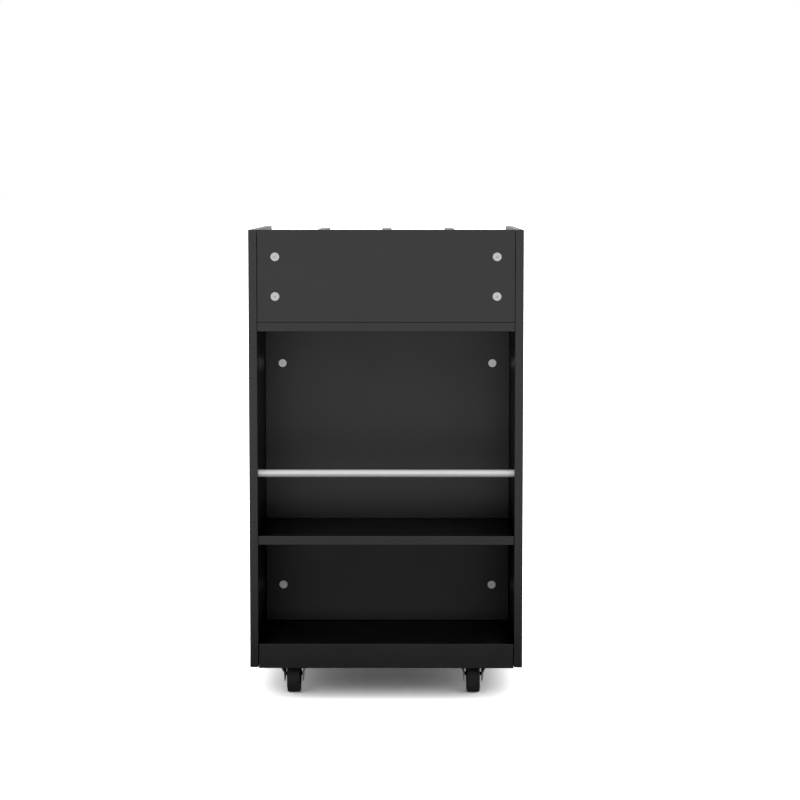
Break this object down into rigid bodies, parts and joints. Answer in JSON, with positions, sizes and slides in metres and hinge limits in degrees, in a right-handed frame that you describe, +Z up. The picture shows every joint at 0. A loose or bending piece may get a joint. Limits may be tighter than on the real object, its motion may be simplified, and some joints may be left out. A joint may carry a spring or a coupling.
{
  "type": "kitchen island cart",
  "caption": "Narrow kitchen island cart with open niches, a round rail, divided top bins and swivel casters.",
  "frame": {"origin": "on the floor under the middle of the cabinet", "axes": "+Z up, the front with the open niches faces -Y, +X to the right seen from the front"},
  "size_m": [0.52, 0.5, 0.9],
  "materials": {
    "black_board": "matte black laminate",
    "black_batten": "black stained wood",
    "dowel_beech": "fluted beech",
    "rail_steel": "fine brushed",
    "bolt_nickel": "nickel plated",
    "zinc_plate": "bright zinc plated",
    "core_plastic": "moulded",
    "tyre_rubber": "matte",
    "pedal_black": "black powder coat"
  },
  "bodies": {
    "cabinet": {"side_panel_left": "black_board", "side_panel_right": "black_board", "front_plate": "black_board", "bin_floor": "black_board", "front_shelf": "black_board", "bin_divider_left": "black_board", "bin_divider_centre": "black_board", "bin_divider_right": "black_board", "partition_panel": "black_board", "bottom_board": "black_board", "front_apron": "black_board", "rear_apron": "black_board", "worktop": "black_board", "rear_shelf_upper": "black_board", "rear_shelf_lower": "black_board", "front_cleat_left": "black_batten", "front_cleat_right": "black_batten", "worktop_ledge_left": "black_batten", "worktop_ledge_right": "black_batten", "partition_block_upper_left": "black_batten", "partition_block_upper_right": "black_batten", "partition_block_lower_left": "black_batten", "partition_block_lower_right": "black_batten", "dowels": "dowel_beech", "niche_rail": "rail_steel", "connector_bolts": "bolt_nickel", "insert_nuts": "zinc_plate", "cam_pins": "zinc_plate", "cam_discs": "zinc_plate", "wood_screws": "zinc_plate", "shelf_pins": "zinc_plate", "caster_kingpins": "zinc_plate", "caster_balls": "zinc_plate", "caster_screws": "zinc_plate", "caster_plate_front_left": "zinc_plate", "caster_plate_front_right": "zinc_plate", "caster_plate_rear_left": "zinc_plate", "caster_plate_rear_right": "zinc_plate"},
    "swivel_front_left": {"caster_fork_front_left": "zinc_plate", "caster_axle_front_left": "zinc_plate", "brake_pin_front_left": "zinc_plate"},
    "wheel_front_left": {"wheel_core_front_left": "core_plastic", "tyre_front_left": "tyre_rubber"},
    "brake_front_left": {"brake_pedal_front_left": "pedal_black"},
    "swivel_front_right": {"caster_fork_front_right": "zinc_plate", "caster_axle_front_right": "zinc_plate", "brake_pin_front_right": "zinc_plate"},
    "wheel_front_right": {"wheel_core_front_right": "core_plastic", "tyre_front_right": "tyre_rubber"},
    "brake_front_right": {"brake_pedal_front_right": "pedal_black"},
    "swivel_rear_left": {"caster_fork_rear_left": "zinc_plate", "caster_axle_rear_left": "zinc_plate"},
    "wheel_rear_left": {"wheel_core_rear_left": "core_plastic", "tyre_rear_left": "tyre_rubber"},
    "swivel_rear_right": {"caster_fork_rear_right": "zinc_plate", "caster_axle_rear_right": "zinc_plate"},
    "wheel_rear_right": {"wheel_core_rear_right": "core_plastic", "tyre_rear_right": "tyre_rubber"}
  },
  "joints": [
    {"name": "swivel_turn_front_left", "type": "hinge", "parent": "cabinet", "child": "swivel_front_left", "pos_m": [-0.18, -0.183, 0.083], "axis": [0, 0, 1], "continuous": true},
    {"name": "wheel_roll_front_left", "type": "hinge", "parent": "swivel_front_left", "child": "wheel_front_left", "pos_m": [-0.18, -0.163, 0.036], "axis": [1, 0, 0], "continuous": true},
    {"name": "brake_press_front_left", "type": "hinge", "parent": "swivel_front_left", "child": "brake_front_left", "pos_m": [-0.18, -0.125, 0.05], "axis": [1, 0, 0], "range_deg": [-12, 0]},
    {"name": "swivel_turn_front_right", "type": "hinge", "parent": "cabinet", "child": "swivel_front_right", "pos_m": [0.168, -0.183, 0.083], "axis": [0, 0, 1], "continuous": true},
    {"name": "wheel_roll_front_right", "type": "hinge", "parent": "swivel_front_right", "child": "wheel_front_right", "pos_m": [0.168, -0.163, 0.036], "axis": [1, 0, 0], "continuous": true},
    {"name": "brake_press_front_right", "type": "hinge", "parent": "swivel_front_right", "child": "brake_front_right", "pos_m": [0.168, -0.125, 0.05], "axis": [1, 0, 0], "range_deg": [-12, 0]},
    {"name": "swivel_turn_rear_left", "type": "hinge", "parent": "cabinet", "child": "swivel_rear_left", "pos_m": [-0.18, 0.183, 0.083], "axis": [0, 0, 1], "continuous": true},
    {"name": "wheel_roll_rear_left", "type": "hinge", "parent": "swivel_rear_left", "child": "wheel_rear_left", "pos_m": [-0.18, 0.203, 0.036], "axis": [1, 0, 0], "continuous": true},
    {"name": "swivel_turn_rear_right", "type": "hinge", "parent": "cabinet", "child": "swivel_rear_right", "pos_m": [0.168, 0.183, 0.083], "axis": [0, 0, 1], "continuous": true},
    {"name": "wheel_roll_rear_right", "type": "hinge", "parent": "swivel_rear_right", "child": "wheel_rear_right", "pos_m": [0.168, 0.203, 0.036], "axis": [1, 0, 0], "continuous": true}
  ]
}
